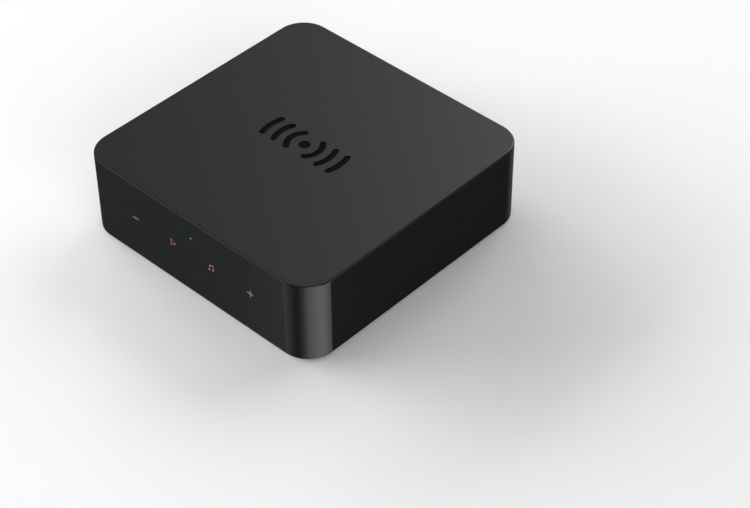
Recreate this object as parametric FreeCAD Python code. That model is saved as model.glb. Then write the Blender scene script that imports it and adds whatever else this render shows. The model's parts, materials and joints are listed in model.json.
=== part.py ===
"""Streaming media player: a low square audio box with touch controls in front and all sockets at the rear.

Millimetres, +Z up. The origin is the centre of the footprint on the surface that the box rests on.
The front, with the touch legends, faces -Y, and the sockets face +Y.
Stack, from below: rubber foot, base plate, main board, heat sink and sockets, five-sided housing.
"""
import FreeCAD, Part
import math
import os

V = FreeCAD.Vector
X_AXIS, Y_AXIS, Z_AXIS = V(1, 0, 0), V(0, 1, 0), V(0, 0, 1)

# ---- driving dimensions -------------------------------------------------------------------------
SIDE = 140.0              # the casing is square in plan
HEIGHT = 42.0             # from the table to the top face
CORNER_R = 14.0           # upright corners of the casing
EDGE_R = 0.8              # soft edge around the top face
WALL = 2.4
TOP_WALL = 2.6
FIT_GAP = 0.15            # between parts that slide together
PRESS_GAP = 0.03          # radial, between parts pushed or moulded together

HALF = SIDE / 2
INNER = HALF - WALL       # half the width inside the walls
CEILING = HEIGHT - TOP_WALL

FOOT_LIFT = 0.8           # the foot holds the casing's rim this far above the table
FOOT_HALF, FOOT_R = 61.0, 10.0
FOOT_THICK, TAPE_THICK = 1.5, 0.1
FOOT_RECESS = FOOT_THICK + TAPE_THICK - FOOT_LIFT

BASE_TOP = FOOT_LIFT + 3.0
BOSS_POS, BOSS_R, BOSS_Z = 55.5, 3.75, 7.2
CUP_R, CUP_TOP, CUP_SEAT = 4.6, 7.0, 5.0

BOARD_LOW, BOARD_THICK = 6.8, 1.6
BOARD_TOP = BOARD_LOW + BOARD_THICK
BOARD_HALF, BOARD_FRONT = 63.5, -46.0
TONGUE_HALF, TONGUE_FRONT, TONGUE_BACK = 50.5, 50.3, 64.5    # the board's narrower rear part
STANDOFFS = [(x, y) for x in (-58.0, 58.0) for y in (-40.0, 44.0)]

PANEL_HALF, PANEL_TOP = 54.0, 36.35
PANEL_OUT, PANEL_STEP, PANEL_IN = 69.4, 67.5, 66.3   # y of the panel's outer face, step and inner face
SOCKET_FACE = 66.2        # y of the front faces of the socket housings behind the panel

# socket centres along the rear, x
LINE_IN_X, LINE_OUT_X, COAX_X = 44.0, 30.0, 17.0
OPTICAL_OUT_X, OPTICAL_IN_X = 5.0, -6.5
TRIGGER_X, ETHERNET_X, USB_X = -17.5, -31.5, -45.5

PHONO_LOW, PHONO_HIGH = 14.0, 27.5   # axis heights of the phono sockets
PHONO_R, PHONO_BASE_R, PHONO_BORE_R = 4.15, 4.45, 3.5
PHONO_END, PHONO_STEP = 78.0, 69.6
PIN_HOLE_R, CONTACT_R = 1.6, 2.2

OPTICAL_HALF, OPTICAL_TOP = 4.9, 20.4
OPTICAL_BACK, OPTICAL_FRONT = 55.0, 70.2
MOUTH_HALF, MOUTH_LOW, MOUTH_HIGH, MOUTH_BACK = 4.1, 9.7, 17.9, 59.9
MOUTH_MIDDLE = (MOUTH_LOW + MOUTH_HIGH) / 2
ROOF_POCKET_TOP, LINTEL_BACK = 19.5, 69.7      # the space that the open shutter folds into
HINGE_Y, HINGE_Z, HINGE_R = 68.8, 18.5, 0.5

TRIGGER_Z, TRIGGER_BORE_R, TRIGGER_NOSE_R = 11.9, 1.8, 3.1
USB_Z, USB_R = BOARD_TOP + 1.65, 1.63

LEGEND_Z, LEGEND_PITCH, LEGEND_DEEP = 22.3, 24.0, 0.3
LIGHT_Z, LIGHT_R = 31.9, 0.35
MARK_DEEP, MARK_THICK = 0.6, 0.25

TOUCH_BACK, TOUCH_FRONT = -65.9, -66.9   # y of the touch board's faces
TOUCH_HALF, TOUCH_LOW, TOUCH_HIGH = 45.0, 12.0, 34.0

MODULE = (-47.0, -11.0, -22.0, 6.0)      # x and y limits of the processor module
SINK = (-37.0, -11.0, -22.0, 6.0)        # x and y limits of the heat sink on it
SINK_LOW = 12.0


# ---- helpers ------------------------------------------------------------------------------------
def box(x0, x1, y0, y1, z0, z1):
    return Part.makeBox(x1 - x0, y1 - y0, z1 - z0, V(x0, y0, z0))


def cylinder(r, start, length, axis):
    return Part.makeCylinder(r, length, V(*start), axis)


def tube(r_out, r_in, start, length, axis):
    return cylinder(r_out, start, length, axis).cut(cylinder(r_in, start, length, axis))


def arc_edge(cx, cy, r, deg0, deg1):
    return Part.Arc(Part.Circle(V(cx, cy, 0), Z_AXIS, r), math.radians(deg0), math.radians(deg1)).toShape()


def line_edge(a, b):
    return Part.LineSegment(V(*a), V(*b)).toShape()


def slab(half_x, half_y, r, z0, z1, cx=0.0, cy=0.0):
    """A plate with round upright corners."""
    inner_x, inner_y = half_x - r, half_y - r
    edges = []
    for i, (sx, sy) in enumerate(((1, 1), (-1, 1), (-1, -1), (1, -1))):
        edges.append(arc_edge(cx + sx * inner_x, cy + sy * inner_y, r, 90 * i, 90 * i + 90))
    corners = [(edge.Vertexes[0].Point, edge.Vertexes[-1].Point) for edge in edges]
    outline = []
    for i, edge in enumerate(edges):
        outline.append(edge)
        outline.append(line_edge(corners[i][1], corners[(i + 1) % 4][0]))
    wire = Part.Wire(Part.__sortEdges__(outline))
    wire.translate(V(0, 0, z0))
    return Part.Face(wire).extrude(V(0, 0, z1 - z0))


def upright(solid, y_back):
    """Stands up a shape drawn in plan: its y becomes z, and its thickness runs from y_back towards -Y."""
    turned = solid.copy()
    turned.rotate(V(0, 0, 0), X_AXIS, 90)
    turned.translate(V(0, y_back, 0))
    return turned


def prism_x(points, x0, x1):
    """A polygon of (y, z) points, run from x0 to x1."""
    loop = [V(x0, y, z) for y, z in points]
    return Part.Face(Part.makePolygon(loop + loop[:1])).extrude(V(x1 - x0, 0, 0))


def copies_at(places, shape):
    out = []
    for x, y in places:
        moved = shape.copy()
        moved.translate(V(x, y, 0))
        out.append(moved)
    return out


def save(name, *solids):
    shape = solids[0] if len(solids) == 1 else Part.makeCompound(list(solids))
    for solid in shape.Solids:
        if not solid.isValid() or solid.Volume <= 0:
            raise ValueError(f"{name} holds a bad solid")
    shape.exportStep(f"parts/{name}.step")


def bent_path(points):
    """Straight runs joined by tangent arcs, each arc as large as its two runs allow."""
    pts = [V(*p) for p in points]
    edges, start = [], pts[0]
    for before, corner, after in zip(pts, pts[1:], pts[2:]):
        back, onward = (before - corner), (after - corner)
        trim = 0.45 * min(back.Length, onward.Length)
        a = corner + back.normalize() * trim
        b = corner + onward.normalize() * trim
        turn = math.pi - back.getAngle(onward)
        radius = trim / math.tan(turn / 2)
        bisector = (back + onward).normalize()
        centre = corner + bisector * (radius / math.cos(turn / 2))
        middle = centre - bisector * radius
        edges.append(Part.LineSegment(start, a).toShape())
        edges.append(Part.Arc(a, middle, b).toShape())
        start = b
    edges.append(Part.LineSegment(start, pts[-1]).toShape())
    return Part.Wire(edges)


def coil(radius, wire_r, pitch, turns):
    """A coil spring on the Z axis. Its wire's centre starts at z = 0."""
    helix = Part.makeLongHelix(pitch, pitch * turns, radius)
    first = helix.Edges[0]
    start = first.valueAt(first.FirstParameter)
    profile = Part.Wire(Part.Circle(start, first.tangentAt(first.FirstParameter), wire_r).toShape())
    return Part.Wire(helix).makePipeShell([profile], True, True)


def lead(points, r):
    """A round lead that follows a bent path."""
    path = bent_path(points)
    first = path.Edges[0]
    profile = Part.Wire(Part.Circle(V(*points[0]), first.tangentAt(first.FirstParameter), r).toShape())
    return path.makePipeShell([profile], True, False)


# ---- casing -------------------------------------------------------------------------------------
def mark_strokes(z0, z1, grow=0.0):
    """Generic sound-wave mark: a dot between three pairs of arcs of equal height, with round ends."""
    stroke, dot_r, half_rise = 3.0 + 2 * grow, 2.7 + grow, 6.1
    strokes = [cylinder(dot_r, (0, 0, z0), z1 - z0, Z_AXIS)]
    for radius in (8.2, 14.6, 21.2):
        spread = math.degrees(math.asin(half_rise / radius))
        for middle in (0, 180):
            inner, outer = radius - stroke / 2, radius + stroke / 2
            d0, d1 = middle - spread, middle + spread
            ends = [(r * math.cos(math.radians(d)), r * math.sin(math.radians(d)), 0)
                    for r, d in ((outer, d0), (outer, d1), (inner, d1), (inner, d0))]
            outline = [arc_edge(0, 0, outer, d0, d1), line_edge(ends[1], ends[2]),
                       arc_edge(0, 0, inner, d0, d1), line_edge(ends[3], ends[0])]
            band = Part.Face(Part.Wire(Part.__sortEdges__(outline))).extrude(V(0, 0, z1 - z0))
            band.translate(V(0, 0, z0))
            for d in (d0, d1):
                tip = (radius * math.cos(math.radians(d)), radius * math.sin(math.radians(d)), z0)
                band = band.fuse(cylinder(stroke / 2, tip, z1 - z0, Z_AXIS))
            strokes.append(band.removeSplitter())
    return strokes


def legend_shapes():
    """The four touch legends in plan, centred on x, with y standing for height: minus, play, notes, plus."""
    half, bar, beam = 1.95, 0.26, 0.3
    stem, head_r = 0.18, 0.36

    def plate(x0, x1, y0, y1):
        return box(x0, x1, y0, y1, 0, LEGEND_DEEP)

    def polygon(points):
        loop = [V(x, y, 0) for x, y in points]
        return Part.Face(Part.makePolygon(loop + loop[:1])).extrude(V(0, 0, LEGEND_DEEP))

    minus = plate(-half, half, -bar / 2, bar / 2)
    play = polygon([(-1.3, -1.75), (1.75, 0), (-1.3, 1.75)])
    play = play.cut(polygon([(-1.15, -1.49), (1.45, 0), (-1.15, 1.49)]))
    notes = polygon([(-1.1, 1.2), (1.4, 1.9), (1.4, 1.9 - beam), (-1.1, 1.2 - beam)])
    for x, low, high in ((-1.1, -1.6, 1.1), (1.4 - stem, -1.0, 1.75)):
        notes = notes.fuse(plate(x, x + stem, low, high))
        notes = notes.fuse(cylinder(head_r, (x + stem - head_r, low, 0), LEGEND_DEEP, Z_AXIS))
    plus = plate(-half, half, -bar / 2, bar / 2).fuse(plate(-bar / 2, bar / 2, -half, half))
    return [minus, play, notes.removeSplitter(), plus.removeSplitter()]


def touch_legends():
    placed = []
    for i, shape in enumerate(legend_shapes()):
        solid = upright(shape, -HALF + LEGEND_DEEP)
        solid.translate(V((i - 1.5) * LEGEND_PITCH, 0, LEGEND_Z))
        placed.append(solid)
    return placed


def top_housing(legends):
    """Five-sided shell, open below, with a notch in its rear wall for the socket panel."""
    shell = slab(HALF, HALF, CORNER_R, FOOT_LIFT, HEIGHT)
    top_edges = [e for e in shell.Edges if all(abs(v.Z - HEIGHT) < 1e-6 for v in e.Vertexes)]
    shell = shell.makeFillet(EDGE_R, top_edges)
    shell = shell.cut(slab(INNER, INNER, CORNER_R - WALL, FOOT_LIFT - 1, CEILING))
    notch_half = PANEL_HALF + FIT_GAP
    shell = shell.cut(box(-notch_half, notch_half, INNER - 1, HALF + 1, 0, PANEL_TOP + FIT_GAP))
    for x in (-BOSS_POS, BOSS_POS):
        for y in (-BOSS_POS, BOSS_POS):
            boss = cylinder(BOSS_R, (x, y, BOSS_Z), CEILING - BOSS_Z, Z_AXIS)
            pilot = cylinder(1.15, (x, y, BOSS_Z), 14.0, Z_AXIS)
            shell = shell.fuse(boss).cut(pilot)
    for offset in (-30.0, 30.0):
        shell = shell.fuse(box(offset - 0.6, offset + 0.6, -48, 48, CEILING - 2.0, CEILING))
        shell = shell.fuse(box(-48, 48, offset - 0.6, offset + 0.6, CEILING - 2.0, CEILING))
    for sign in (-1, 1):
        x = sign * (TOUCH_HALF + 1.0)
        shell = shell.fuse(box(x - 0.75, x + 0.75, -INNER, TOUCH_BACK + 0.9, TOUCH_LOW, TOUCH_HIGH + 2))
    for stroke in mark_strokes(HEIGHT - MARK_DEEP, HEIGHT + 1, PRESS_GAP):
        shell = shell.cut(stroke)
    for legend in legends:
        shell = shell.cut(legend)
    shell = shell.cut(cylinder(LIGHT_R + PRESS_GAP, (0, -HALF - 1, LIGHT_Z), WALL + 2, Y_AXIS))
    return shell.removeSplitter()


def base_plate():
    """Floor of the casing, with screw cups at its corners, board standoffs and the recess for the foot."""
    half = INNER - FIT_GAP
    plate = slab(half, half, CORNER_R - WALL - FIT_GAP, FOOT_LIFT, BASE_TOP)
    plate = plate.cut(slab(FOOT_HALF + FIT_GAP, FOOT_HALF + FIT_GAP, FOOT_R + FIT_GAP,
                           FOOT_LIFT - 1, FOOT_LIFT + FOOT_RECESS))
    for x, y in STANDOFFS + sink_screw_places():
        plate = plate.fuse(cylinder(3.0, (x, y, BASE_TOP), BOARD_LOW - BASE_TOP, Z_AXIS))
    for places, r in ((STANDOFFS, 1.05), (sink_screw_places(), 1.2)):
        for x, y in places:
            plate = plate.cut(cylinder(r, (x, y, BOARD_LOW - 4.6), 5, Z_AXIS))
    floor = FOOT_LIFT + FOOT_RECESS
    for x in (-BOSS_POS, BOSS_POS):
        for y in (-BOSS_POS, BOSS_POS):
            plate = plate.fuse(cylinder(CUP_R, (x, y, BASE_TOP), CUP_TOP - BASE_TOP, Z_AXIS))
            plate = plate.cut(cylinder(2.8, (x, y, floor - 1), CUP_SEAT - floor + 1, Z_AXIS))
            plate = plate.cut(cylinder(1.5, (x, y, CUP_SEAT - 1), CUP_TOP - CUP_SEAT + 2, Z_AXIS))
    for y in (-20.0, 20.0):
        plate = plate.fuse(box(-50, 50, y - 0.6, y + 0.6, BASE_TOP, BASE_TOP + 1.2))
    return plate.removeSplitter()


def foot_pad():
    pad = slab(FOOT_HALF, FOOT_HALF, FOOT_R, 0, FOOT_THICK)
    low_edges = [e for e in pad.Edges if all(abs(v.Z) < 1e-6 for v in e.Vertexes)]
    return pad.makeFillet(0.4, low_edges)


def rear_panel():
    """Socket panel: an outer plate in the housing's notch and a wider inner flange behind the wall."""
    outer = box(-PANEL_HALF, PANEL_HALF, PANEL_STEP, PANEL_OUT, FOOT_LIFT, PANEL_TOP)
    flange = box(-PANEL_HALF - 1.6, PANEL_HALF + 1.6, PANEL_IN, PANEL_STEP, BASE_TOP + 0.1, PANEL_TOP + 1.6)
    panel = outer.fuse(flange)
    y0, depth = PANEL_IN - 1, PANEL_OUT - PANEL_IN + 2
    for x, z in phono_places():
        panel = panel.cut(cylinder(PHONO_BASE_R + 0.25, (x, y0, z), depth, Y_AXIS))
    for x in (OPTICAL_OUT_X, OPTICAL_IN_X):
        panel = panel.cut(box(x - OPTICAL_HALF - 0.1, x + OPTICAL_HALF + 0.1, y0, y0 + depth,
                              BOARD_TOP - 0.1, OPTICAL_TOP + 0.1))
    panel = panel.cut(cylinder(TRIGGER_NOSE_R + 0.2, (TRIGGER_X, y0, TRIGGER_Z), depth, Y_AXIS))
    panel = panel.cut(box(ETHERNET_X - 8.15, ETHERNET_X + 8.15, y0, y0 + depth,
                          BOARD_TOP - 0.15, BOARD_TOP + 13.55))
    panel = panel.cut(upright_pill(USB_X, USB_Z, 4.75, 1.9, y0, y0 + depth))
    return panel.removeSplitter()


def upright_pill(x, z, half_x, r, y0, y1):
    """A bar with round ends, lying along X, run from y0 to y1."""
    middle = box(x - half_x + r, x + half_x - r, y0, y1, z - r, z + r)
    for end in (x - half_x + r, x + half_x - r):
        middle = middle.fuse(cylinder(r, (end, y0, z), y1 - y0, Y_AXIS))
    return middle.removeSplitter()


# ---- boards and what is on them -----------------------------------------------------------------
def main_board():
    board = box(-BOARD_HALF, BOARD_HALF, BOARD_FRONT, TONGUE_FRONT, BOARD_LOW, BOARD_TOP)
    board = board.fuse(box(-TONGUE_HALF, TONGUE_HALF, TONGUE_FRONT, TONGUE_BACK, BOARD_LOW, BOARD_TOP))
    for x, y in STANDOFFS:
        board = board.cut(cylinder(1.35, (x, y, BOARD_LOW - 1), BOARD_THICK + 2, Z_AXIS))
    for x, y in sink_screw_places():
        board = board.cut(cylinder(1.25, (x, y, BOARD_LOW - 1), BOARD_THICK + 2, Z_AXIS))
    return board.removeSplitter()


def chip(x, y, half_x, half_y, height, legs_x=0, legs_y=0, pitch=0.5):
    """A moulded chip on the board, with a corner dot and flat legs on two or four sides."""
    z = BOARD_TOP + 0.1
    body = box(x - half_x, x + half_x, y - half_y, y + half_y, z, z + height)
    body = body.cut(cylinder(0.4, (x - half_x + 1, y + half_y - 1, z + height - 0.1), 1, Z_AXIS))
    legs = []
    for count, reach, along_x in ((legs_x, half_y, True), (legs_y, half_x, False)):
        for i in range(count):
            at = (i - (count - 1) / 2) * pitch
            for side in (-1, 1):
                near, far = sorted((side * reach, side * (reach + 1.0)))
                if along_x:
                    legs.append(box(x + at - 0.12, x + at + 0.12, y + near, y + far, BOARD_TOP, z + 0.15))
                else:
                    legs.append(box(x + near, x + far, y + at - 0.12, y + at + 0.12, BOARD_TOP, z + 0.15))
    return [body] + legs


def audio_chips():
    parts = chip(22.0, 8.0, 5.0, 5.0, 1.4, 16, 16)
    parts += chip(6.5, 12.0, 2.2, 4.9, 1.1, 0, 14, 0.65)
    for y in (-4.0, 3.0, 10.0, 17.0):
        parts += chip(35.0, y, 2.0, 2.5, 1.5, 4, 0, 1.27)
    return parts


def power_chips():
    parts = chip(-50.0, 34.0, 2.5, 2.5, 0.9, 5, 5, 0.8)
    parts += chip(-30.0, 30.0, 4.0, 4.0, 0.9, 12, 12, 0.5)
    parts += chip(50.0, 0.0, 2.0, 2.5, 1.5, 4, 0, 1.27)
    return parts


def capacitor(x, y, r, height):
    """A can capacitor on its square plastic foot, with the shallow neck above the foot."""
    foot = box(x - r - 0.15, x + r + 0.15, y - r - 0.15, y + r + 0.15, BOARD_TOP, BOARD_TOP + 0.9)
    can = cylinder(r, (x, y, BOARD_TOP + 0.9), height - 0.9, Z_AXIS)
    neck = tube(r + 1, r - 0.25, (x, y, BOARD_TOP + 1.9), 0.6, Z_AXIS)
    rim = [e for e in can.Edges if all(abs(v.Z - BOARD_TOP - height) < 1e-6 for v in e.Vertexes)]
    return foot.fuse(can.makeFillet(0.4, [e for e in rim if e.Closed]).cut(neck)).removeSplitter()


def electrolytic_capacitors():
    places = [(x, 44.5) for x in (22.0, 30.5, 39.0, 47.5)] + [(x, 36.0) for x in (30.5, 39.0)]
    return [capacitor(x, y, 3.15, 7.7) for x, y in places] + [capacitor(-41.5, 30.5, 4.0, 10.0)]


def power_inductors():
    out = []
    for x, y in ((-50.0, 42.5), (-58.0, 30.0), (-20.0, 34.0)):
        core = slab(3.5, 3.5, 0.8, BOARD_TOP, BOARD_TOP + 3.0, x, y)
        out.append(core.cut(tube(3.1, 2.9, (x, y, BOARD_TOP + 2.7), 1, Z_AXIS)))
    return out


def clock_crystals():
    return [slab(5.5, 2.3, 2.29, BOARD_TOP, BOARD_TOP + 3.5, x, y) for x, y in ((8.0, -2.0), (-52.0, 18.0))]


def ethernet_transformer():
    x, y = ETHERNET_X, 42.5
    body = box(x - 6.5, x + 6.5, y - 4.5, y + 4.5, BOARD_TOP + 0.3, BOARD_TOP + 6.0)
    legs = []
    for i in range(8):
        at = x + (i - 3.5) * 1.5
        for side in (-1, 1):
            near, far = sorted((side * 4.5, side * 5.6))
            legs.append(box(at - 0.2, at + 0.2, y + near, y + far, BOARD_TOP, BOARD_TOP + 0.3))
    return [body] + legs


def shield_can(x0, x1, y0, y1, z0, z1, sheet, hole_r=0.0, pitch=1.0):
    """A drawn sheet-metal lid, open below, with rows of round holes in its top when hole_r is given."""
    can = slab((x1 - x0) / 2, (y1 - y0) / 2, 1.0, z0, z1, (x0 + x1) / 2, (y0 + y1) / 2)
    can = can.cut(slab((x1 - x0) / 2 - sheet, (y1 - y0) / 2 - sheet, 1.0 - sheet, z0 - 1, z1 - sheet,
                       (x0 + x1) / 2, (y0 + y1) / 2))
    if hole_r:
        across, along = int((x1 - x0 - 6) / pitch), int((y1 - y0 - 6) / pitch)
        for i in range(across + 1):
            for j in range(along + 1):
                x = (x0 + x1) / 2 + (i - across / 2) * pitch
                y = (y0 + y1) / 2 + (j - along / 2) * pitch
                can = can.cut(cylinder(hole_r, (x, y, z1 - 1), 2, Z_AXIS))
    return can


def processor_module():
    x0, x1, y0, y1 = MODULE
    module = box(x0, x1, y0, y1, BOARD_TOP, BOARD_TOP + 0.8)
    for i in range(17):
        y = y0 + 2.0 + i * 1.5
        for x in (x0, x1):
            module = module.cut(cylinder(0.35, (x, y, BOARD_TOP - 1), 3, Z_AXIS))
    return module


def module_place(dx, dy):
    """A point on the module, measured from its front left corner."""
    return MODULE[0] + dx, MODULE[2] + dy


def processor_chips():
    z = BOARD_TOP + 0.8
    out = []
    for dx, dy, half_x, half_y in ((19.0, 14.0, 6.5, 6.5), (30.5, 14.0, 3.8, 5.0)):
        x, y = module_place(dx, dy)
        out.append(box(x - half_x, x + half_x, y - half_y, y + half_y, z, z + 1.1))
    return out


def sink_screw_places():
    """One screw in front of the heat sink, near its right edge, and one behind it, near its left edge."""
    return [(SINK[1] - 4.0, SINK[2] - 3.5), (SINK[0] + 4.0, SINK[3] + 3.5)]


def heat_sink():
    """Extruded sink over the processor: a plate with upright fins, and an ear for each screw."""
    x0, x1, y0, y1 = SINK
    sink = box(x0, x1, y0, y1, SINK_LOW, SINK_LOW + 2.0)
    for x, y in sink_screw_places():
        sink = sink.fuse(cylinder(3.2, (x, y, SINK_LOW), 2.0, Z_AXIS))
        near, far = sorted((y, min(max(y, y0), y1)))
        sink = sink.fuse(box(x - 3.2, x + 3.2, near, far, SINK_LOW, SINK_LOW + 2.0))
    for i in range(9):
        x = x0 + 0.6 + i * (x1 - x0 - 1.2) / 8
        sink = sink.fuse(box(x - 0.6, x + 0.6, y0, y1, SINK_LOW + 2.0, SINK_LOW + 13.0))
    for x, y in sink_screw_places():
        sink = sink.cut(cylinder(1.25, (x, y, SINK_LOW - 1), 5, Z_AXIS))
    return sink.removeSplitter()


def heat_sink_springs():
    spring = coil(1.75, 0.2, 0.9, 4)
    spring.translate(V(0, 0, SINK_LOW + 2.25))
    return copies_at(sink_screw_places(), spring)


def touch_board():
    board = box(-TOUCH_HALF, TOUCH_HALF, TOUCH_FRONT, TOUCH_BACK, TOUCH_LOW, TOUCH_HIGH)
    return board.makeFillet(1.5, [e for e in board.Edges if abs(e.Vertexes[0].Y - e.Vertexes[-1].Y) > 0.5])


def legend_places():
    return [((i - 1.5) * LEGEND_PITCH, LEGEND_Z) for i in range(4)]


def touch_foam():
    """Foam between the touch board and the front wall, with windows for the electrodes and the light."""
    foam = box(-TOUCH_HALF + 0.5, TOUCH_HALF - 0.5, -INNER, TOUCH_FRONT, TOUCH_LOW + 0.5, TOUCH_HIGH - 0.5)
    for x, z in legend_places():
        foam = foam.cut(cylinder(6.0, (x, -HALF, z), 5, Y_AXIS))
    return foam.cut(cylinder(1.9, (0, -HALF, LIGHT_Z), 5, Y_AXIS))


def touch_electrodes():
    return [tube(5.6, 3.0, (x, TOUCH_FRONT - 0.1, z), 0.1, Y_AXIS) for x, z in legend_places()]


def legend_lamps():
    places = legend_places() + [(0.0, LIGHT_Z)]
    return [box(x - 0.8, x + 0.8, TOUCH_FRONT - 0.35, TOUCH_FRONT, z - 0.4, z + 0.4) for x, z in places]


def status_light_pipe():
    """Clear pin through the front wall, with a collar behind it."""
    pin = cylinder(LIGHT_R, (0, -HALF, LIGHT_Z), WALL, Y_AXIS)
    return pin.fuse(cylinder(1.3, (0, -INNER, LIGHT_Z), 0.3, Y_AXIS)).removeSplitter()


RIBBON_START_Y, RIBBON_END_Z = -44.5, 16.5


def ribbon_connectors():
    lower = box(-7.0, 7.0, RIBBON_START_Y, RIBBON_START_Y + 3.5, BOARD_TOP, BOARD_TOP + 2.0)
    upper = box(-7.0, 7.0, TOUCH_BACK, TOUCH_BACK + 2.0, RIBBON_END_Z, RIBBON_END_Z + 3.5)
    return [lower, upper]


def ribbon_cable():
    """Flat cable that leaves the main board forwards and climbs to the back of the touch board."""
    start_y, start_z, climb_y = RIBBON_START_Y, BOARD_TOP + 1.0, TOUCH_BACK + 1.0
    half, thin = 6.0, 0.12
    path = bent_path([(0, start_y, start_z), (0, start_y - 10.0, start_z - 0.1),
                      (0, climb_y, start_z + 0.5), (0, climb_y, RIBBON_END_Z)])
    section = ((-half, -thin), (half, -thin), (half, thin), (-half, thin), (-half, -thin))
    profile = Part.makePolygon([V(x, start_y, start_z + z) for x, z in section])
    return path.makePipeShell([profile], True, False)


# ---- aerials ------------------------------------------------------------------------------------
def side_aerial(sign):
    near, far = sorted((sign * (INNER - 0.1), sign * (INNER - 0.5)))
    return box(near, far, -24.0, 18.0, 20.0, 29.0)


def ceiling_aerial():
    return box(-26.0, 16.0, -60.0, -51.0, CEILING - 0.5, CEILING - 0.1)


PLUG_X, PLUG_R, FERRULE = MODULE[0] + 5.0, 1.3, 2.2
PLUG_Z = BOARD_TOP + 0.8
LEAD_Z, LEAD_R = PLUG_Z + 0.75, 0.5


def aerial_plugs():
    """Three snap-on plugs on the module, each with a ferrule that its lead comes out of."""
    plugs = []
    for y, way in ((-6.0, V(-1, 0, 0)), (-12.0, V(-1, 0, 0)), (-18.0, V(0, -1, 0))):
        plug = cylinder(PLUG_R, (PLUG_X, y, PLUG_Z), 1.5, Z_AXIS)
        plugs.append(plug.fuse(cylinder(0.65, (PLUG_X, y, LEAD_Z), FERRULE, way)).removeSplitter())
    return plugs


def aerial_lead_left():
    return lead([(-66.4, -2.0, 24.0), (-64.6, -2.6, 13.5), (-54.0, -6.0, LEAD_Z),
                 (PLUG_X - FERRULE, -6.0, LEAD_Z)], LEAD_R)


def aerial_lead_ceiling():
    return lead([(-24.0, -55.5, 38.2), (-36.0, -51.0, 31.0), (-50.0, -36.0, 19.0),
                 (-54.0, -12.0, LEAD_Z), (PLUG_X - FERRULE, -12.0, LEAD_Z)], LEAD_R)


def aerial_lead_right():
    return lead([(66.4, -2.0, 24.0), (64.4, -4.0, 13.5), (57.0, -18.0, 10.3), (38.0, -31.0, 10.0),
                 (10.0, -36.0, 10.0), (-24.0, -35.5, 10.0), (PLUG_X, -31.0, LEAD_Z),
                 (PLUG_X, -18.0 - FERRULE, LEAD_Z)], LEAD_R)


# ---- rear sockets -------------------------------------------------------------------------------
def phono_places():
    """Axis (x, z) of each phono socket: line in high and low, line out high and low, digital out."""
    return [(LINE_IN_X, PHONO_HIGH), (LINE_IN_X, PHONO_LOW), (LINE_OUT_X, PHONO_HIGH),
            (LINE_OUT_X, PHONO_LOW), (COAX_X, PHONO_LOW)]


def phono_housing(x, top):
    body = box(x - 5.0, x + 5.0, 54.5, SOCKET_FACE - 0.1, BOARD_TOP, top)
    uprights = [e for e in body.Edges if abs(e.Vertexes[0].Z - e.Vertexes[-1].Z) > 1 and e.Vertexes[0].Y < 60]
    return body.makeFillet(1.0, uprights)


def phono_barrel(x, z):
    """Plated outer contact: a wider base in the panel, then the plain barrel with a bevelled mouth."""
    y0 = SOCKET_FACE - 0.1
    base = cylinder(PHONO_BASE_R, (x, y0, z), PHONO_STEP - y0, Y_AXIS)
    nose = cylinder(PHONO_R, (x, PHONO_STEP, z), PHONO_END - PHONO_STEP, Y_AXIS)
    barrel = base.fuse(nose).removeSplitter()
    mouth = [e for e in barrel.Edges if e.Closed and abs(e.Vertexes[0].Y - PHONO_END) < 1e-6]
    barrel = barrel.makeChamfer(0.3, mouth)
    return barrel.cut(cylinder(PHONO_BORE_R, (x, y0 - 1, z), PHONO_END - y0 + 2, Y_AXIS))


def phono_insulator(x, z):
    y0 = SOCKET_FACE - 0.1
    return tube(PHONO_BORE_R - PRESS_GAP, CONTACT_R + PRESS_GAP, (x, y0, z), PHONO_END - 0.6 - y0, Y_AXIS)


def phono_contact(x, z):
    y0 = SOCKET_FACE - 0.1
    contact = cylinder(CONTACT_R, (x, y0, z), PHONO_END - 0.9 - y0, Y_AXIS)
    return contact.cut(cylinder(PIN_HOLE_R, (x, PHONO_STEP, z), PHONO_END - PHONO_STEP, Y_AXIS))


def optical_housing(x):
    """Block with a square mouth, a roof pocket that the shutter folds into, and hinge holes in its cheeks."""
    body = box(x - OPTICAL_HALF, x + OPTICAL_HALF, OPTICAL_BACK, OPTICAL_FRONT, BOARD_TOP, OPTICAL_TOP)
    body = body.cut(box(x - MOUTH_HALF, x + MOUTH_HALF, MOUTH_BACK, OPTICAL_FRONT + 1, MOUTH_LOW, MOUTH_HIGH))
    body = body.cut(box(x - MOUTH_HALF, x + MOUTH_HALF, MOUTH_BACK, LINTEL_BACK, MOUTH_HIGH, ROOF_POCKET_TOP))
    body = body.cut(cylinder(HINGE_R + 0.05, (x - 6, HINGE_Y, HINGE_Z), 12, X_AXIS))
    body = body.cut(cylinder(1.3, (x, 58.0, MOUTH_MIDDLE), 4, Y_AXIS))
    body = body.cut(box(x - 3.0, x + 3.0, OPTICAL_BACK - 1, 58.0, MOUTH_MIDDLE - 3.0, MOUTH_MIDDLE + 3.0))
    return body.removeSplitter()


def optical_shutter(x):
    """Spring door that closes the mouth: a plate on a round spindle, notched around the spring."""
    half, reach = MOUTH_HALF - 0.12, OPTICAL_HALF - 0.1
    plate = box(x - half, x + half, HINGE_Y - 0.4, HINGE_Y + 0.4, MOUTH_LOW + 0.15, HINGE_Z)
    plate = plate.cut(box(x - 1.1, x + 1.1, HINGE_Y - 1, HINGE_Y + 1, HINGE_Z - 1.6, HINGE_Z + 1))
    spindle = cylinder(HINGE_R, (x - reach, HINGE_Y, HINGE_Z), 2 * reach, X_AXIS)
    return plate.fuse(spindle).removeSplitter()


def shutter_spring(x):
    """Torsion spring around the spindle, in the door's notch."""
    pitch, turns = 0.3, 5
    spring = coil(0.66, 0.1, pitch, turns)
    spring.rotate(V(0, 0, 0), Y_AXIS, 90)
    spring.translate(V(x - pitch * turns / 2, HINGE_Y, HINGE_Z))
    return spring


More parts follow.
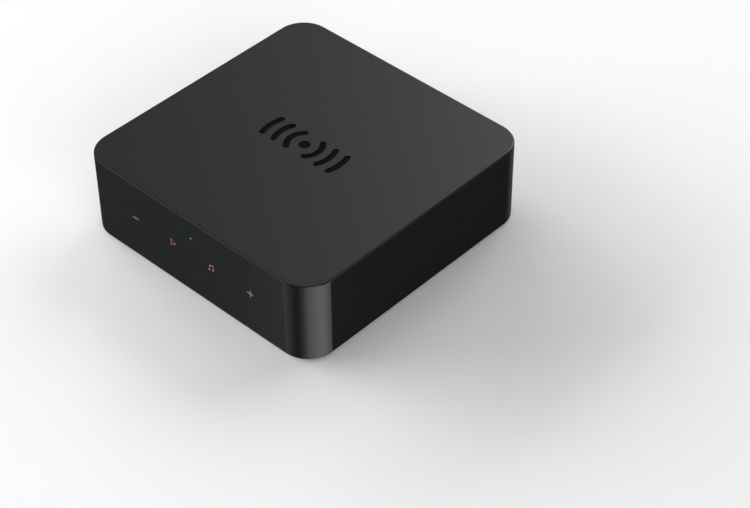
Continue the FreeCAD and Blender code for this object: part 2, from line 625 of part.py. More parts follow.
def optical_light_unit(x):
    """Light unit behind the mouth: a block with a round nose that meets the fibre."""
    block = box(x - 2.9, x + 2.9, OPTICAL_BACK + 0.2, 57.9, MOUTH_MIDDLE - 2.9, MOUTH_MIDDLE + 2.9)
    return block.fuse(cylinder(1.25, (x, 57.9, MOUTH_MIDDLE), 1.4, Y_AXIS)).removeSplitter()


def trigger_jack():
    body = box(TRIGGER_X - 3.5, TRIGGER_X + 3.5, 55.5, SOCKET_FACE - 0.1, BOARD_TOP, TRIGGER_Z + 3.5)
    body = body.fuse(cylinder(TRIGGER_NOSE_R, (TRIGGER_X, SOCKET_FACE - 0.1, TRIGGER_Z), 3.8, Y_AXIS))
    return body.cut(cylinder(TRIGGER_BORE_R, (TRIGGER_X, 56.3, TRIGGER_Z), 20, Y_AXIS)).removeSplitter()


def trigger_contacts():
    """Three spring blades that lie along the outside of the jack's body."""
    out = []
    for side, y in ((-1, 57.0), (1, 57.0), (-1, 62.0)):
        near, far = sorted((side * 3.5, side * 3.75))
        out.append(box(TRIGGER_X + near, TRIGGER_X + far, y, y + 2.4, BOARD_TOP, TRIGGER_Z + 1.6))
    return out


ETHERNET_TOP, ETHERNET_BACK, ETHERNET_FRONT = BOARD_TOP + 13.4, 53.6, 69.6


def ethernet_cavity(grow=0.0):
    """The space for the plug and, below it, the channel for its catch."""
    x = ETHERNET_X
    plug = box(x - 5.9 - grow, x + 5.9 + grow, 56.0, ETHERNET_FRONT + 1, 11.6 - grow, 18.6 + grow)
    catch = box(x - 3.2 - grow, x + 3.2 + grow, 60.0, ETHERNET_FRONT + 1, 9.7 - grow, 11.7)
    return plug.fuse(catch).removeSplitter()


def ethernet_shell():
    """Sheet-metal screen around the socket, open in front where the plug goes in, and below."""
    x, sheet = ETHERNET_X, 0.25
    shell = box(x - 8.0, x + 8.0, ETHERNET_BACK, ETHERNET_FRONT, BOARD_TOP, ETHERNET_TOP)
    shell = shell.cut(box(x - 8.0 + sheet, x + 8.0 - sheet, ETHERNET_BACK + sheet, ETHERNET_FRONT - sheet,
                          BOARD_TOP - 1, ETHERNET_TOP - sheet))
    shell = shell.cut(ethernet_cavity(0.25))
    for side in (-1, 1):
        shell = shell.cut(ethernet_window(side, 0.15))
    return shell


def ethernet_window(side, grow=0.0):
    middle = ETHERNET_X + side * 5.9
    return box(middle - 1.3 - grow, middle + 1.3 + grow, 62.0, ETHERNET_FRONT, 19.3 - grow, 20.9 + grow)


def ethernet_insert():
    x, sheet = ETHERNET_X, 0.3
    insert = box(x - 8.0 + sheet, x + 8.0 - sheet, ETHERNET_BACK + sheet, ETHERNET_FRONT - sheet,
                 BOARD_TOP + 0.1, ETHERNET_TOP - sheet)
    insert = insert.cut(ethernet_cavity())
    for side in (-1, 1):
        insert = insert.cut(ethernet_window(side, 0.05))
    return insert


def ethernet_contacts():
    """Eight sprung wires that slope from the roof near the mouth down to the back of the cavity."""
    slope = [(67.4, 18.55), (66.9, 18.55), (57.6, 16.75), (57.6, 16.4), (67.4, 18.25)]
    return [prism_x(slope, ETHERNET_X + (i - 3.5) * 1.02 - 0.22, ETHERNET_X + (i - 3.5) * 1.02 + 0.22)
            for i in range(8)]


def usb_shell():
    outer = upright_pill(USB_X, USB_Z, 4.47, USB_R, 62.0, 69.2)
    inner = upright_pill(USB_X, USB_Z, 4.17, USB_R - 0.3, 62.4, 70.0)
    return outer.cut(inner)


def usb_tongue():
    block = upright_pill(USB_X, USB_Z, 4.14, USB_R - 0.33, 62.42, 63.6)
    tongue = box(USB_X - 3.35, USB_X + 3.35, 63.6, 68.5, USB_Z - 0.35, USB_Z + 0.35)
    return block.fuse(tongue).removeSplitter()


def usb_contacts():
    out = []
    for i in range(12):
        x = USB_X + (i - 5.5) * 0.5
        for low, high in ((USB_Z + 0.35, USB_Z + 0.4), (USB_Z - 0.4, USB_Z - 0.35)):
            out.append(box(x - 0.125, x + 0.125, 64.0, 68.0, low, high))
    return out


# ---- fasteners ----------------------------------------------------------------------------------
def cross_recess(r, depth, z_face, up):
    """Two crossed slots, sunk into a screw head from its face."""
    z0, z1 = (z_face - depth, z_face + 1) if up else (z_face - 1, z_face + depth)
    return box(-r, r, -0.35, 0.35, z0, z1).fuse(box(-0.35, 0.35, -r, r, z0, z1))


def screw(shank_r, shank, head_r, head, z_seat, up):
    """A pan-head screw on the Z axis. up means that its head is above z_seat and its shank below."""
    sign = 1 if up else -1
    pan = cylinder(head_r, (0, 0, z_seat if up else z_seat - head), head, Z_AXIS)
    face = z_seat + sign * head
    rim = [e for e in pan.Edges if e.Closed and abs(e.Vertexes[0].Z - face) < 1e-6]
    pan = pan.makeFillet(0.35 * head, rim).cut(cross_recess(0.6 * head_r, 0.5 * head, face, up))
    thread = cylinder(shank_r, (0, 0, z_seat - shank if up else z_seat), shank, Z_AXIS)
    return pan.fuse(thread).removeSplitter()


def base_screws():
    places = [(x, y) for x in (-BOSS_POS, BOSS_POS) for y in (-BOSS_POS, BOSS_POS)]
    return copies_at(places, screw(1.1, 11.0, 2.5, 1.8, CUP_SEAT, False))


def board_screws():
    return copies_at(STANDOFFS, screw(1.0, 5.5, 2.3, 1.6, BOARD_TOP, True))


def heat_sink_screws():
    return copies_at(sink_screw_places(), screw(1.15, 14.0, 2.3, 1.4, SINK_LOW + 6.2, True))


# ---- build --------------------------------------------------------------------------------------
os.makedirs("parts", exist_ok=True)

legends = touch_legends()
save("top_housing", top_housing(legends))
save("top_mark", *mark_strokes(HEIGHT - MARK_DEEP, HEIGHT - MARK_DEEP + MARK_THICK))
save("touch_legends", *legends)
save("base_plate", base_plate())
save("foot_pad", foot_pad())
save("foot_tape", slab(FOOT_HALF - 1, FOOT_HALF - 1, FOOT_R - 1, FOOT_THICK, FOOT_THICK + TAPE_THICK))
save("rear_panel", rear_panel())

save("main_board", main_board())
save("audio_chips", *audio_chips())
save("power_chips", *power_chips())
save("electrolytic_capacitors", *electrolytic_capacitors())
save("power_inductors", *power_inductors())
save("clock_crystals", *clock_crystals())
save("ethernet_transformer", *ethernet_transformer())
save("audio_shield", shield_can(0.5, 41.5, -9.0, 24.5, BOARD_TOP, BOARD_TOP + 5.5, 0.25, 0.9, 5.0))
save("processor_module", processor_module())
save("processor_chips", *processor_chips())
save("processor_shield", shield_can(SINK[0] + 0.5, SINK[1] - 0.5, SINK[2] + 0.5, SINK[3] - 0.5,
                                    BOARD_TOP + 0.8, SINK_LOW - 1.0, 0.2))
save("thermal_pad", box(SINK[0] + 3, SINK[1] - 3, SINK[2] + 4, SINK[3] - 4, SINK_LOW - 1.0, SINK_LOW))
save("heat_sink", heat_sink())
save("heat_sink_screws", *heat_sink_screws())
save("heat_sink_springs", *heat_sink_springs())

save("touch_board", touch_board())
save("touch_foam", touch_foam())
save("touch_electrodes", *touch_electrodes())
save("legend_lamps", *legend_lamps())
save("status_light_pipe", status_light_pipe())
save("touch_controller", box(18.0, 24.0, TOUCH_BACK, TOUCH_BACK + 1.0, 19.0, 25.0))
save("ribbon_connectors", *ribbon_connectors())
save("ribbon_cable", ribbon_cable())

save("side_aerials", side_aerial(-1), side_aerial(1))
save("aerial_ceiling", ceiling_aerial())
save("aerial_plugs", *aerial_plugs())
save("aerial_lead_left", aerial_lead_left())
save("aerial_lead_right", aerial_lead_right())
save("aerial_lead_ceiling", aerial_lead_ceiling())

places = phono_places()
housings = ((LINE_IN_X, 33.5), (LINE_OUT_X, 33.5), (COAX_X, 20.0))
save("phono_housings", *[phono_housing(x, top) for x, top in housings])
save("phono_barrels", *[phono_barrel(x, z) for x, z in places])
save("phono_insulators_white", *[phono_insulator(x, z) for x, z in (places[0], places[2])])
save("phono_insulators_red", *[phono_insulator(x, z) for x, z in (places[1], places[3])])
save("phono_insulator_orange", phono_insulator(*places[4]))
save("phono_contacts", *[phono_contact(x, z) for x, z in places])

for name, x in (("optical_out", OPTICAL_OUT_X), ("optical_in", OPTICAL_IN_X)):
    save(f"{name}_housing", optical_housing(x))
    save(f"{name}_shutter", optical_shutter(x))
    save(f"{name}_spring", shutter_spring(x))
save("optical_light_units", *[optical_light_unit(x) for x in (OPTICAL_OUT_X, OPTICAL_IN_X)])

save("trigger_jack", trigger_jack())
save("trigger_contacts", *trigger_contacts())
save("ethernet_shell", ethernet_shell())
save("ethernet_insert", ethernet_insert())
save("ethernet_contacts", *ethernet_contacts())
save("ethernet_lights", *[ethernet_window(side) for side in (-1, 1)])
save("usb_shell", usb_shell())
save("usb_tongue", usb_tongue())
save("usb_contacts", *usb_contacts())

save("base_screws", *base_screws())
save("board_screws", *board_screws())
print("nodes:", len(os.listdir("parts")))
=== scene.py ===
"""Looks of the streaming media player: materials, printed symbols on the socket panel, studio and camera."""
import json
import math

import bmesh
import bpy
from mathutils import Matrix, Vector


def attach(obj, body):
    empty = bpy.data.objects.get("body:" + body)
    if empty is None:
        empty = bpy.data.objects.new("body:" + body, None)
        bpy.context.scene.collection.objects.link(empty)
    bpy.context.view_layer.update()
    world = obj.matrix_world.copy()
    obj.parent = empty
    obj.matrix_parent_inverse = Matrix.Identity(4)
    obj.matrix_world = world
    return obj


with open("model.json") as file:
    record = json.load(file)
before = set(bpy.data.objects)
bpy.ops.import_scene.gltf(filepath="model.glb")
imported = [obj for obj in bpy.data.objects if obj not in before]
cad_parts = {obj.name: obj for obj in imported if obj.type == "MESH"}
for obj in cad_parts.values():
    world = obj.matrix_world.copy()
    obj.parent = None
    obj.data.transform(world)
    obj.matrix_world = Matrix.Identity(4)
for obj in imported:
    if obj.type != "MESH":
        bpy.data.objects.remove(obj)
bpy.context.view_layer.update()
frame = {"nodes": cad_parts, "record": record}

MM = 0.001
PLAYER = "player"
NOISE_LOW, NOISE_HIGH = 0.25, 0.75     # noise seldom leaves this range


# ---- node helpers -------------------------------------------------------------------------------
class Shader:
    """A new material with one Principled shader, and short ways to add nodes to it."""

    def __init__(self, name, color, roughness, metallic=0.0, **sockets):
        self.material = bpy.data.materials.new(name)
        self.material.use_nodes = True
        self.tree = self.material.node_tree
        self.bsdf = self.tree.nodes["Principled BSDF"]
        self.set(**{"Base Color": (*color, 1.0), "Roughness": roughness, "Metallic": metallic})
        self.set(**{key.replace("_", " "): value for key, value in sockets.items()})

    def set(self, **values):
        for socket, value in values.items():
            self.bsdf.inputs[socket].default_value = value

    def node(self, kind, inputs=None, **properties):
        node = self.tree.nodes.new(kind)
        for name, value in properties.items():
            setattr(node, name, value)
        for socket, value in (inputs or {}).items():
            if isinstance(value, bpy.types.NodeSocket):
                self.tree.links.new(value, node.inputs[socket])
            else:
                node.inputs[socket].default_value = value
        return node

    def link(self, value, socket):
        self.tree.links.new(value, self.bsdf.inputs[socket])

    def place(self):
        """Position on the object in metres, the same at every pose."""
        return self.node("ShaderNodeTexCoord").outputs["Object"]

    def noise(self, size, detail=3.0, roughness=0.55, stretch=None):
        """Noise whose blobs are about size metres across, stretched along the axes when given."""
        where = self.place()
        if stretch:
            where = self.node("ShaderNodeMapping", {"Vector": where, "Scale": stretch}).outputs["Vector"]
        settings = {"Vector": where, "Scale": 1.0 / size, "Detail": detail, "Roughness": roughness}
        return self.node("ShaderNodeTexNoise", settings).outputs["Fac"]

    def between(self, value, low, high):
        """A noise value turned into low to high."""
        settings = {"Value": value, "From Min": NOISE_LOW, "From Max": NOISE_HIGH,
                    "To Min": low, "To Max": high}
        return self.node("ShaderNodeMapRange", settings).outputs["Result"]

    def blend(self, factor, color_a, color_b):
        """Two colours, mixed by factor."""
        mix = self.node("ShaderNodeMix", data_type="RGBA")
        self.tree.links.new(factor, mix.inputs["Factor"])
        for socket, color in (("A", color_a), ("B", color_b)):
            sockets = [s for s in mix.inputs if s.name == socket and s.type == "RGBA"]
            if isinstance(color, bpy.types.NodeSocket):
                self.tree.links.new(color, sockets[0])
            else:
                sockets[0].default_value = (*color, 1.0)
        return [s for s in mix.outputs if s.type == "RGBA"][0]

    def bump(self, height, depth, strength=1.0):
        settings = {"Height": height, "Distance": depth, "Strength": strength}
        self.link(self.node("ShaderNodeBump", settings).outputs["Normal"], "Normal")


def shade(color, factor):
    return tuple(min(1.0, c * factor) for c in color)


# ---- materials ----------------------------------------------------------------------------------
def moulded_plastic(name, color, roughness, grain=0.35 * MM, depth=0.012 * MM, **sockets):
    """Injection-moulded plastic: a fine spark-eroded grain, faint flow marks and a slightly uneven gloss."""
    s = Shader(name, color, roughness, **sockets)
    flow = s.noise(18 * MM, 2.0, stretch=(1.0, 1.0, 2.5))
    s.link(s.blend(s.between(flow, 0.0, 1.0), shade(color, 0.9), shade(color, 1.12)), "Base Color")
    s.link(s.between(s.noise(4 * MM, 4.0), roughness * 0.92, roughness * 1.08), "Roughness")
    s.bump(s.noise(grain, 2.0), depth)
    return s.material


def clear_resin(name, color, roughness, glow=0.0):
    """Tinted clear plastic, cloudier in the middle, which may be lit from behind."""
    s = Shader(name, color, roughness, Transmission_Weight=0.35, IOR=1.5)
    s.link(s.blend(s.noise(0.6 * MM, 2.0), shade(color, 0.8), shade(color, 1.2)), "Base Color")
    if glow:
        s.set(**{"Emission Color": (*color, 1.0), "Emission Strength": glow})
    s.bump(s.noise(0.4 * MM, 2.0), 0.006 * MM)
    return s.material


def plated_metal(name, color, roughness, brushed=(1.0, 1.0, 1.0)):
    """Plated or drawn metal: fine scratches along one axis, and faint stains that change its gloss."""
    s = Shader(name, color, roughness, metallic=1.0)
    stain = s.noise(3 * MM, 4.0)
    s.link(s.blend(s.between(stain, 0.0, 1.0), shade(color, 0.86), shade(color, 1.06)), "Base Color")
    scratch = s.noise(0.5 * MM, 5.0, 0.7, stretch=brushed)
    s.link(s.between(scratch, roughness * 0.7, roughness * 1.35), "Roughness")
    s.bump(scratch, 0.004 * MM)
    return s.material


def rubber(name, color, roughness, grain=0.25 * MM):
    """Moulded rubber or foam: dull, with a close pebble."""
    s = Shader(name, color, roughness)
    cells = s.node("ShaderNodeTexVoronoi", {"Vector": s.place(), "Scale": 1.0 / grain}).outputs["Distance"]
    s.link(s.blend(s.noise(5 * MM), shade(color, 0.8), shade(color, 1.3)), "Base Color")
    s.bump(cells, 0.02 * MM)
    return s.material


def circuit_board(name, color):
    """Solder resist over copper: traces show as a faint raised maze, with bare pads here and there."""
    s = Shader(name, color, 0.32, Coat_Weight=0.3, Coat_Roughness=0.2)
    where = s.place()
    settings = {"Vector": where, "Scale": 1.0 / (1.9 * MM), "Randomness": 0.25}
    maze = s.node("ShaderNodeTexVoronoi", settings, distance="MANHATTAN", feature="F1").outputs["Distance"]
    traces = s.node("ShaderNodeMath", {0: maze, 1: 0.42}, operation="LESS_THAN").outputs["Value"]
    settings = {"Vector": where, "Scale": 1.0 / (2.3 * MM), "Randomness": 1.0}
    spots = s.node("ShaderNodeTexVoronoi", settings).outputs["Distance"]
    pads = s.node("ShaderNodeMath", {0: spots, 1: 0.12}, operation="LESS_THAN").outputs["Value"]
    resist = s.blend(traces, color, shade(color, 1.9))
    s.link(s.blend(pads, resist, (0.72, 0.55, 0.28)), "Base Color")
    s.link(pads, "Metallic")
    s.bump(traces, 0.03 * MM, 0.6)
    return s.material


def ink(name, color):
    """Printed ink, slightly uneven, over plastic."""
    s = Shader(name, color, 0.45)
    s.link(s.blend(s.noise(0.5 * MM), shade(color, 0.85), shade(color, 1.1)), "Base Color")
    s.bump(s.noise(0.2 * MM), 0.01 * MM)
    return s.material


def housing_plastic():
    """The casing's plastic: a close matte grain on top, and smoother, glossier walls."""
    color, top_roughness, wall_roughness = (0.0079, 0.0085, 0.0096), 0.45, 0.11
    s = Shader("housing_plastic", color, wall_roughness)
    normal = s.node("ShaderNodeNewGeometry").outputs["Normal"]
    upward = s.node("ShaderNodeSeparateXYZ", {"Vector": normal}).outputs["Z"]
    settings = {"Value": upward, "From Min": 0.75, "From Max": 0.98, "To Min": 0.0, "To Max": 1.0}
    top = s.node("ShaderNodeMapRange", settings, interpolation_type="SMOOTHSTEP").outputs["Result"]
    settings = {"Value": top, "To Min": wall_roughness, "To Max": top_roughness}
    roughness = s.node("ShaderNodeMapRange", settings).outputs["Result"]
    uneven = s.between(s.noise(6 * MM, 4.0), 0.95, 1.05)
    gloss = s.node("ShaderNodeMath", {0: roughness, 1: uneven}, operation="MULTIPLY").outputs["Value"]
    s.link(gloss, "Roughness")
    flow = s.between(s.noise(30 * MM, 2.0), 0.0, 1.0)
    walls = s.blend(flow, shade(color, 0.94), shade(color, 1.06))
    s.link(s.blend(top, walls, shade(color, 1.05)), "Base Color")
    grain = s.noise(0.28 * MM, 2.0)
    strength = s.node("ShaderNodeMapRange", {"Value": top, "To Min": 0.04, "To Max": 1.0}).outputs["Result"]
    bump = s.node("ShaderNodeBump", {"Height": grain, "Distance": 0.008 * MM, "Strength": strength})
    s.link(bump.outputs["Normal"], "Normal")
    return s.material


def mark_plastic():
    """Black inlay at the bottom of the mark, glossier and greyer in places."""
    color = (0.0048, 0.005, 0.0056)
    s = Shader("mark_plastic", color, 0.22, Specular_IOR_Level=0.045)
    clouds = s.between(s.noise(9 * MM, 2.0), 0.0, 1.0)
    s.link(s.blend(clouds, shade(color, 0.6), shade(color, 1.5)), "Base Color")
    s.link(s.between(s.noise(2 * MM, 3.0), 0.16, 0.28), "Roughness")
    s.bump(s.noise(1.2 * MM, 2.0), 0.006 * MM)
    return s.material


def slot_materials():
    """One finished material for each slot that the record names."""
    black = (0.012, 0.012, 0.0125)
    return {
        "housing_plastic": housing_plastic(),
        "mark_plastic": mark_plastic(),
        "legend_ink": ink("legend_ink", (0.67, 0.32, 0.235)),
        "light_pipe": clear_resin("light_pipe", (0.1, 0.6, 0.16), 0.25, 0.4),
        "base_plastic": moulded_plastic("base_plastic", black, 0.5, 0.5 * MM, 0.02 * MM),
        "foot_rubber": rubber("foot_rubber", (0.014, 0.014, 0.015), 0.75, 0.6 * MM),
        "tape": moulded_plastic("tape", (0.7, 0.66, 0.55), 0.6),
        "panel_plastic": moulded_plastic("panel_plastic", black, 0.42, 0.4 * MM, 0.016 * MM),
        "circuit_board": circuit_board("circuit_board", (0.006, 0.05, 0.028)),
        "chip_resin": moulded_plastic("chip_resin", (0.02, 0.02, 0.021), 0.55, 0.12 * MM, 0.01 * MM),
        "capacitor_can": plated_metal("capacitor_can", (0.72, 0.72, 0.74), 0.25, (1.0, 1.0, 0.1)),
        "ferrite": moulded_plastic("ferrite", (0.07, 0.07, 0.078), 0.7, 0.2 * MM, 0.03 * MM),
        "plated_tin": plated_metal("plated_tin", (0.62, 0.62, 0.61), 0.28, (0.1, 1.0, 1.0)),
        "thermal_gum": rubber("thermal_gum", (0.3, 0.45, 0.58), 0.8, 0.2 * MM),
        "sink_aluminium": plated_metal("sink_aluminium", (0.52, 0.53, 0.55), 0.36, (1.0, 0.05, 1.0)),
        "screw_steel": plated_metal("screw_steel", (0.1, 0.1, 0.105), 0.35),
        "spring_steel": plated_metal("spring_steel", (0.55, 0.55, 0.56), 0.22),
        "foam": rubber("foam", (0.016, 0.016, 0.016), 0.95, 0.35 * MM),
        "electrode_copper": plated_metal("electrode_copper", (0.78, 0.42, 0.27), 0.35),
        "lamp_resin": clear_resin("lamp_resin", (0.8, 0.76, 0.55), 0.3),
        "ribbon_film": moulded_plastic("ribbon_film", (0.68, 0.7, 0.74), 0.35),
        "connector_nylon": moulded_plastic("connector_nylon", (0.72, 0.68, 0.56), 0.5),
        "aerial_film": plated_metal("aerial_film", (0.55, 0.32, 0.12), 0.4),
        "lead_jacket": moulded_plastic("lead_jacket", (0.02, 0.02, 0.022), 0.4),
        "gold_plate": plated_metal("gold_plate", (0.83, 0.62, 0.31), 0.22, (1.0, 0.12, 1.0)),
        "phono_plastic": moulded_plastic("phono_plastic", black, 0.5),
        "insulator_white": moulded_plastic("insulator_white", (0.76, 0.76, 0.73), 0.35),
        "insulator_red": moulded_plastic("insulator_red", (0.5, 0.012, 0.014), 0.35),
        "insulator_orange": moulded_plastic("insulator_orange", (0.72, 0.16, 0.012), 0.35),
        "optical_plastic": moulded_plastic("optical_plastic", black, 0.45),
        "shutter_plastic": moulded_plastic("shutter_plastic", (0.022, 0.022, 0.024), 0.4),
        "lens_resin": clear_resin("lens_resin", (0.3, 0.012, 0.014), 0.1),
        "jack_plastic": moulded_plastic("jack_plastic", black, 0.35),
        "socket_plastic": moulded_plastic("socket_plastic", (0.016, 0.016, 0.017), 0.45),
        "socket_light": clear_resin("socket_light", (0.5, 0.56, 0.2), 0.3),
        "usb_steel": plated_metal("usb_steel", (0.58, 0.58, 0.59), 0.24, (1.0, 0.1, 1.0)),
    }


def dress_cad_nodes(materials):
    slots = {part["node"]: part["material_slot"] for part in frame["record"]["subparts"]}
    for name, obj in frame["nodes"].items():
        for material_slot in obj.material_slots:
            material_slot.material = materials[slots[name]]


# ---- printed symbols on the socket panel --------------------------------------------------------
PANEL_FACE, PRINT_THICK = 69.4 * MM, 0.03 * MM
SYMBOL_X = {"line_in": 44.0, "line_out": 30.0, "digital_out": 17.0, "optical_out": 5.0, "optical_in": -6.5,
            "trigger": -17.5, "network": -31.5, "power": -45.5}     # mm, the sockets' places along the panel
SYMBOL_Z = {"line_in": 34.3, "line_out": 34.3, "digital_out": 21.7, "optical_out": 23.0, "optical_in": 23.0,
            "trigger": 17.4, "network": 25.0, "power": 14.6}


def bar(x0, x1, z0, z1):
    return [(x0, z0), (x1, z0), (x1, z1), (x0, z1)]


def ring(x, z, r, stroke, start=0, end=360, steps=24):
    """Short quads along an arc, angles in degrees."""
    quads = []
    for i in range(steps):
        a, b = (math.radians(start + (end - start) * (i + k) / steps) for k in (0, 1))
        quads.append([(x + rr * math.cos(t), z + rr * math.sin(t))
                      for rr, t in ((r, a), (r + stroke, a), (r + stroke, b), (r, b))])
    return quads


def arrow(inward):
    """An arrow down at the socket, or up and away from it, over the bar that stands for the box."""
    tip, tail = (-0.9, 0.9) if inward else (0.9, -0.9)
    return [[(-0.8, (tip + tail) / 2), (0.8, (tip + tail) / 2), (0.0, tip)],
            bar(-0.16, 0.16, min(tail, 0.0), max(tail, 0.0)), bar(-1.3, 1.3, -1.55, -1.3)]


def symbol_shapes():
    """Outlines of each symbol around its own centre, in mm."""
    wave = ring(0.0, -1.3, 0.75, 0.28, 40, 140, 8) + ring(0.0, -1.3, 1.5, 0.28, 40, 140, 10)
    network = [bar(-0.45, 0.45, 0.5, 1.2), bar(-1.7, -0.8, -1.2, -0.5), bar(0.8, 1.7, -1.2, -0.5),
               bar(-0.08, 0.08, 0.0, 0.5), bar(-1.3, 1.3, -0.08, 0.08), bar(-1.3, -1.14, -0.5, 0.0),
               bar(1.14, 1.3, -0.5, 0.0)]
    power = ring(0.0, 0.0, 0.85, 0.22, -235, 55, 20) + [bar(-0.11, 0.11, 0.1, 1.3)]
    bolt = [[(0.3, 1.2), (-0.7, -0.15), (0.1, -0.15)], [(-0.3, -1.2), (0.7, 0.15), (-0.1, 0.15)]]
    return {"line_in": arrow(True), "line_out": arrow(False),
            "digital_out": wave + ring(0.0, -1.3, 0.0, 0.32),
            "optical_out": arrow(False), "optical_in": arrow(True),
            "trigger": bolt, "network": network, "power": power}


def add_panel_symbols(material):
    """Pad-printed symbols over the sockets, as thin closed plates on the panel's face."""
    verts, faces = [], []
    for name, shapes in symbol_shapes().items():
        for outline in shapes:
            first, count = len(verts), len(outline)
            for y in (PANEL_FACE, PANEL_FACE + PRINT_THICK):
                verts += [((SYMBOL_X[name] - x) * MM, y, (SYMBOL_Z[name] + z) * MM) for x, z in outline]
            near, far = list(range(first, first + count)), list(range(first + count, first + 2 * count))
            faces += [near, far[::-1]]
            faces += [(near[i], far[i], far[(i + 1) % count], near[(i + 1) % count]) for i in range(count)]
    mesh = bpy.data.meshes.new("panel_symbols")
    mesh.from_pydata(verts, [], faces)
    mesh.materials.append(material)
    solid = bmesh.new()
    solid.from_mesh(mesh)
    bmesh.ops.recalc_face_normals(solid, faces=solid.faces)
    solid.to_mesh(mesh)
    solid.free()
    piece = bpy.data.objects.new("panel_symbols", mesh)
    bpy.context.collection.objects.link(piece)
    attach(piece, PLAYER)


# ---- studio and camera --------------------------------------------------------------------------
CAMERA_AZIMUTH, CAMERA_ELEVATION, CAMERA_ROLL = 43.26, 41.91, -0.35   # degrees
CAMERA_DISTANCE = 936.3 * MM
CAMERA_ASIDE, CAMERA_DOWN = 30.9 * MM, 18.0 * MM     # the view is centred right of and below the player
LENS_MM, SENSOR_MM = 98.5, 36.0
CASING_FOOT = 0.8 * MM


def add_camera():
    azimuth, elevation, roll = (math.radians(a) for a in (CAMERA_AZIMUTH, CAMERA_ELEVATION, CAMERA_ROLL))
    back = Vector((math.sin(azimuth) * math.cos(elevation), -math.cos(azimuth) * math.cos(elevation),
                   math.sin(elevation)))
    right = Vector((math.cos(azimuth), math.sin(azimuth), 0.0))
    up = back.cross(right)
    data = bpy.data.cameras.new("camera")
    data.lens, data.sensor_width, data.clip_start = LENS_MM, SENSOR_MM, 0.01
    camera = bpy.data.objects.new("camera", data)
    bpy.context.collection.objects.link(camera)
    across = right * math.cos(roll) + up * math.sin(roll)
    upward = up * math.cos(roll) - right * math.sin(roll)
    place = back * CAMERA_DISTANCE + right * CAMERA_ASIDE - up * CAMERA_DOWN + Vector((0, 0, CASING_FOOT))
    turn = Matrix((across, upward, back)).transposed().to_4x4()
    camera.matrix_world = Matrix.Translation(place) @ turn
    bpy.context.scene.camera = camera


def add_floor():
    """Pale table top. Glossy rays pass it, so that the casing's walls mirror the dark studio below."""
    size = 8.0
    mesh = bpy.data.meshes.new("floor")
    corners = [(-size, -size, 0), (size, -size, 0), (size, size, 0), (-size, size, 0)]
    mesh.from_pydata(corners, [], [(0, 1, 2, 3)])
    floor = bpy.data.objects.new("floor", mesh)
    bpy.context.collection.objects.link(floor)
    s = Shader("floor_paper", (0.86, 0.86, 0.86), 0.75, Specular_IOR_Level=0.2)
    s.link(s.blend(s.noise(400 * MM, 2.0), (0.855, 0.856, 0.858), (0.865, 0.865, 0.865)), "Base Color")
    mesh.materials.append(s.material)
    floor.visible_glossy = False


def add_backdrop():
    """Pale round wall around the floor. Only the camera sees it, and it neither lights nor shades."""
    radius, height, sides, level = 3.0, 3.0, 96, 1.0
    turns = [math.tau * i / sides for i in range(sides)]
    verts = [(radius * math.cos(a), radius * math.sin(a), z) for z in (0.0, height) for a in turns]
    faces = [(i, (i + 1) % sides, sides + (i + 1) % sides, sides + i) for i in range(sides)]
    mesh = bpy.data.meshes.new("backdrop")
    mesh.from_pydata(verts, [], faces)
    backdrop = bpy.data.objects.new("backdrop", mesh)
    bpy.context.collection.objects.link(backdrop)
    s = Shader("backdrop_paper", (0.0, 0.0, 0.0), 1.0, Specular_IOR_Level=0.0, Emission_Strength=1.0)
    s.set(**{"Emission Color": (level, level, level, 1.0)})
    mesh.materials.append(s.material)
    backdrop.visible_diffuse = backdrop.visible_glossy = backdrop.visible_shadow = False
    backdrop.visible_transmission = False


# light by compass direction: degrees from +X towards +Y, and level.
# The dome is above the horizon, the cards below.
WORLD_STRENGTH = 2.0
DOME_TINT, CARD_TINT = (1.0, 1.0, 1.0), (0.98, 1.0, 1.035)
HORIZON_LOW, HORIZON_HIGH = -0.12, 0.02     # the two blend where a direction's z is between these
DOME_STOPS = [(-180, 0.08), (-110, 0.08), (-60, 0.04), (40, 0.04), (100, 0.10), (180, 0.08)]
CARD_STOPS = [(-180, 0.02), (-151, 0.04), (-144, 0.055), (-138, 0.045), (-135, 0.17), (-120, 0.16),
              (-88, 0.03), (-76, 0.06), (-62, 0.20), (-40, 0.68), (-8, 0.96), (12, 0.86), (40, 0.34),
              (43, 0.02), (60, 0.02), (90, 0.08), (110, 0.04), (180, 0.02)]


def compass_ramp(tree, turn, stops, tint):
    """Tinted light that follows stops around the compass. turn is the direction, from 0 to 1."""
    ramp = tree.nodes.new("ShaderNodeValToRGB")
    elements = ramp.color_ramp.elements
    while len(elements) > 1:
        elements.remove(elements[0])
    for i, (degrees, level) in enumerate(stops):
        position = degrees / 360 + 0.5
        element = elements[0] if i == 0 else elements.new(position)
        element.position = position
        element.color = (*shade(tint, level), 1.0)
    tree.links.new(turn, ramp.inputs["Fac"])
    return ramp.outputs["Color"]


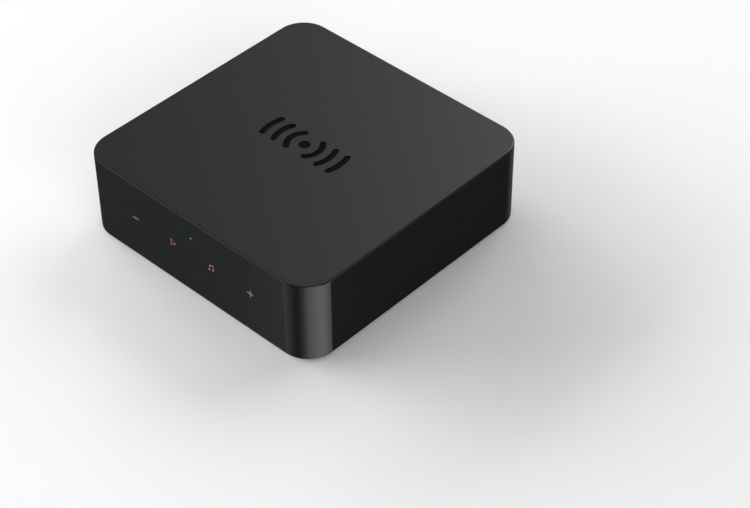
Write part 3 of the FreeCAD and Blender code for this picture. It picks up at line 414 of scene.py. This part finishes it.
def add_world():
    """Soft studio: a dim dome, brighter behind and to the left, over a dark surround with bright cards."""
    world = bpy.data.worlds.new("studio")
    bpy.context.scene.world = world
    world.use_nodes = True
    tree = world.node_tree
    nodes, links = tree.nodes, tree.links
    direction = nodes.new("ShaderNodeSeparateXYZ")
    links.new(nodes.new("ShaderNodeTexCoord").outputs["Generated"], direction.inputs["Vector"])
    angle = nodes.new("ShaderNodeMath")
    angle.operation = "ARCTAN2"
    links.new(direction.outputs["Y"], angle.inputs[0])
    links.new(direction.outputs["X"], angle.inputs[1])
    turn = nodes.new("ShaderNodeMapRange")
    turn.inputs["From Min"].default_value = -math.pi
    turn.inputs["From Max"].default_value = math.pi
    links.new(angle.outputs["Value"], turn.inputs["Value"])
    dome = compass_ramp(tree, turn.outputs["Result"], DOME_STOPS, DOME_TINT)
    below = compass_ramp(tree, turn.outputs["Result"], CARD_STOPS, CARD_TINT)
    above = nodes.new("ShaderNodeMapRange")
    above.inputs["From Min"].default_value = HORIZON_LOW
    above.inputs["From Max"].default_value = HORIZON_HIGH
    links.new(direction.outputs["Z"], above.inputs["Value"])
    mix = nodes.new("ShaderNodeMix")
    mix.data_type = "RGBA"
    links.new(above.outputs["Result"], mix.inputs["Factor"])
    colors = [s for s in mix.inputs if s.type == "RGBA"]
    links.new(below, colors[0])
    links.new(dome, colors[1])
    links.new([s for s in mix.outputs if s.type == "RGBA"][0], nodes["Background"].inputs["Color"])
    nodes["Background"].inputs["Strength"].default_value = WORLD_STRENGTH


SOFTBOXES = [
    # name, compass direction and height in degrees, half width and half height in degrees,
    # share of the floor's light, lights diffuse surfaces, shows in glossy ones
    ("front_left_box", -108, 24, 16, 14, 0.05, True, False),
    ("left_front_box", -146, 14, 17, 12, 0.19, True, False),
    ("left_box", -178, 14, 17, 12, 0.21, True, False),
    ("left_back_box", 150, 14, 17, 12, 0.11, True, False),
    ("back_box", 92, 34, 22, 14, 0.23, True, True),
    ("front_right_box", -24, 25, 22, 14, 0.16, True, True),
    ("top_sheen_box", 112, 27, 12, 12, 0.045, False, True),
    ("edge_sheen_box", -132, 20, 24, 14, 0.05, False, True),
]
LIGHT_DISTANCE = 5.0     # metres
SHEEN_TINT = (0.95, 1.0, 1.03)
FLOOR_SHARE = 0.0871     # light sent up by the floor for each watt, a metre away and straight above


def add_softbox(name, azimuth, elevation, half_width, half_height, share, diffuse, glossy):
    """Area light that faces the player from the given direction."""
    data = bpy.data.lights.new(name, "AREA")
    data.shape = "RECTANGLE"
    data.size = 2 * LIGHT_DISTANCE * math.tan(math.radians(half_width))
    data.size_y = 2 * LIGHT_DISTANCE * math.tan(math.radians(half_height))
    a, e = math.radians(azimuth), math.radians(elevation)
    data.energy = share * LIGHT_DISTANCE ** 2 / (math.sin(e) * FLOOR_SHARE)
    if not diffuse:
        data.color = SHEEN_TINT
    light = bpy.data.objects.new(name, data)
    bpy.context.collection.objects.link(light)
    toward = Vector((math.cos(a) * math.cos(e), math.sin(a) * math.cos(e), math.sin(e)))
    light.location = toward * LIGHT_DISTANCE
    light.rotation_euler = light.location.to_track_quat("Z", "Y").to_euler()
    light.visible_camera, light.visible_diffuse, light.visible_glossy = False, diffuse, glossy


# ---- making -------------------------------------------------------------------------------------
add_camera()
dress_cad_nodes(slot_materials())
add_panel_symbols(ink("panel_print", (0.55, 0.55, 0.54)))
add_floor()
add_backdrop()
add_world()
for softbox in SOFTBOXES:
    add_softbox(*softbox)

scene = bpy.context.scene
scene.view_settings.view_transform = "Standard"
scene.view_settings.look = "None"
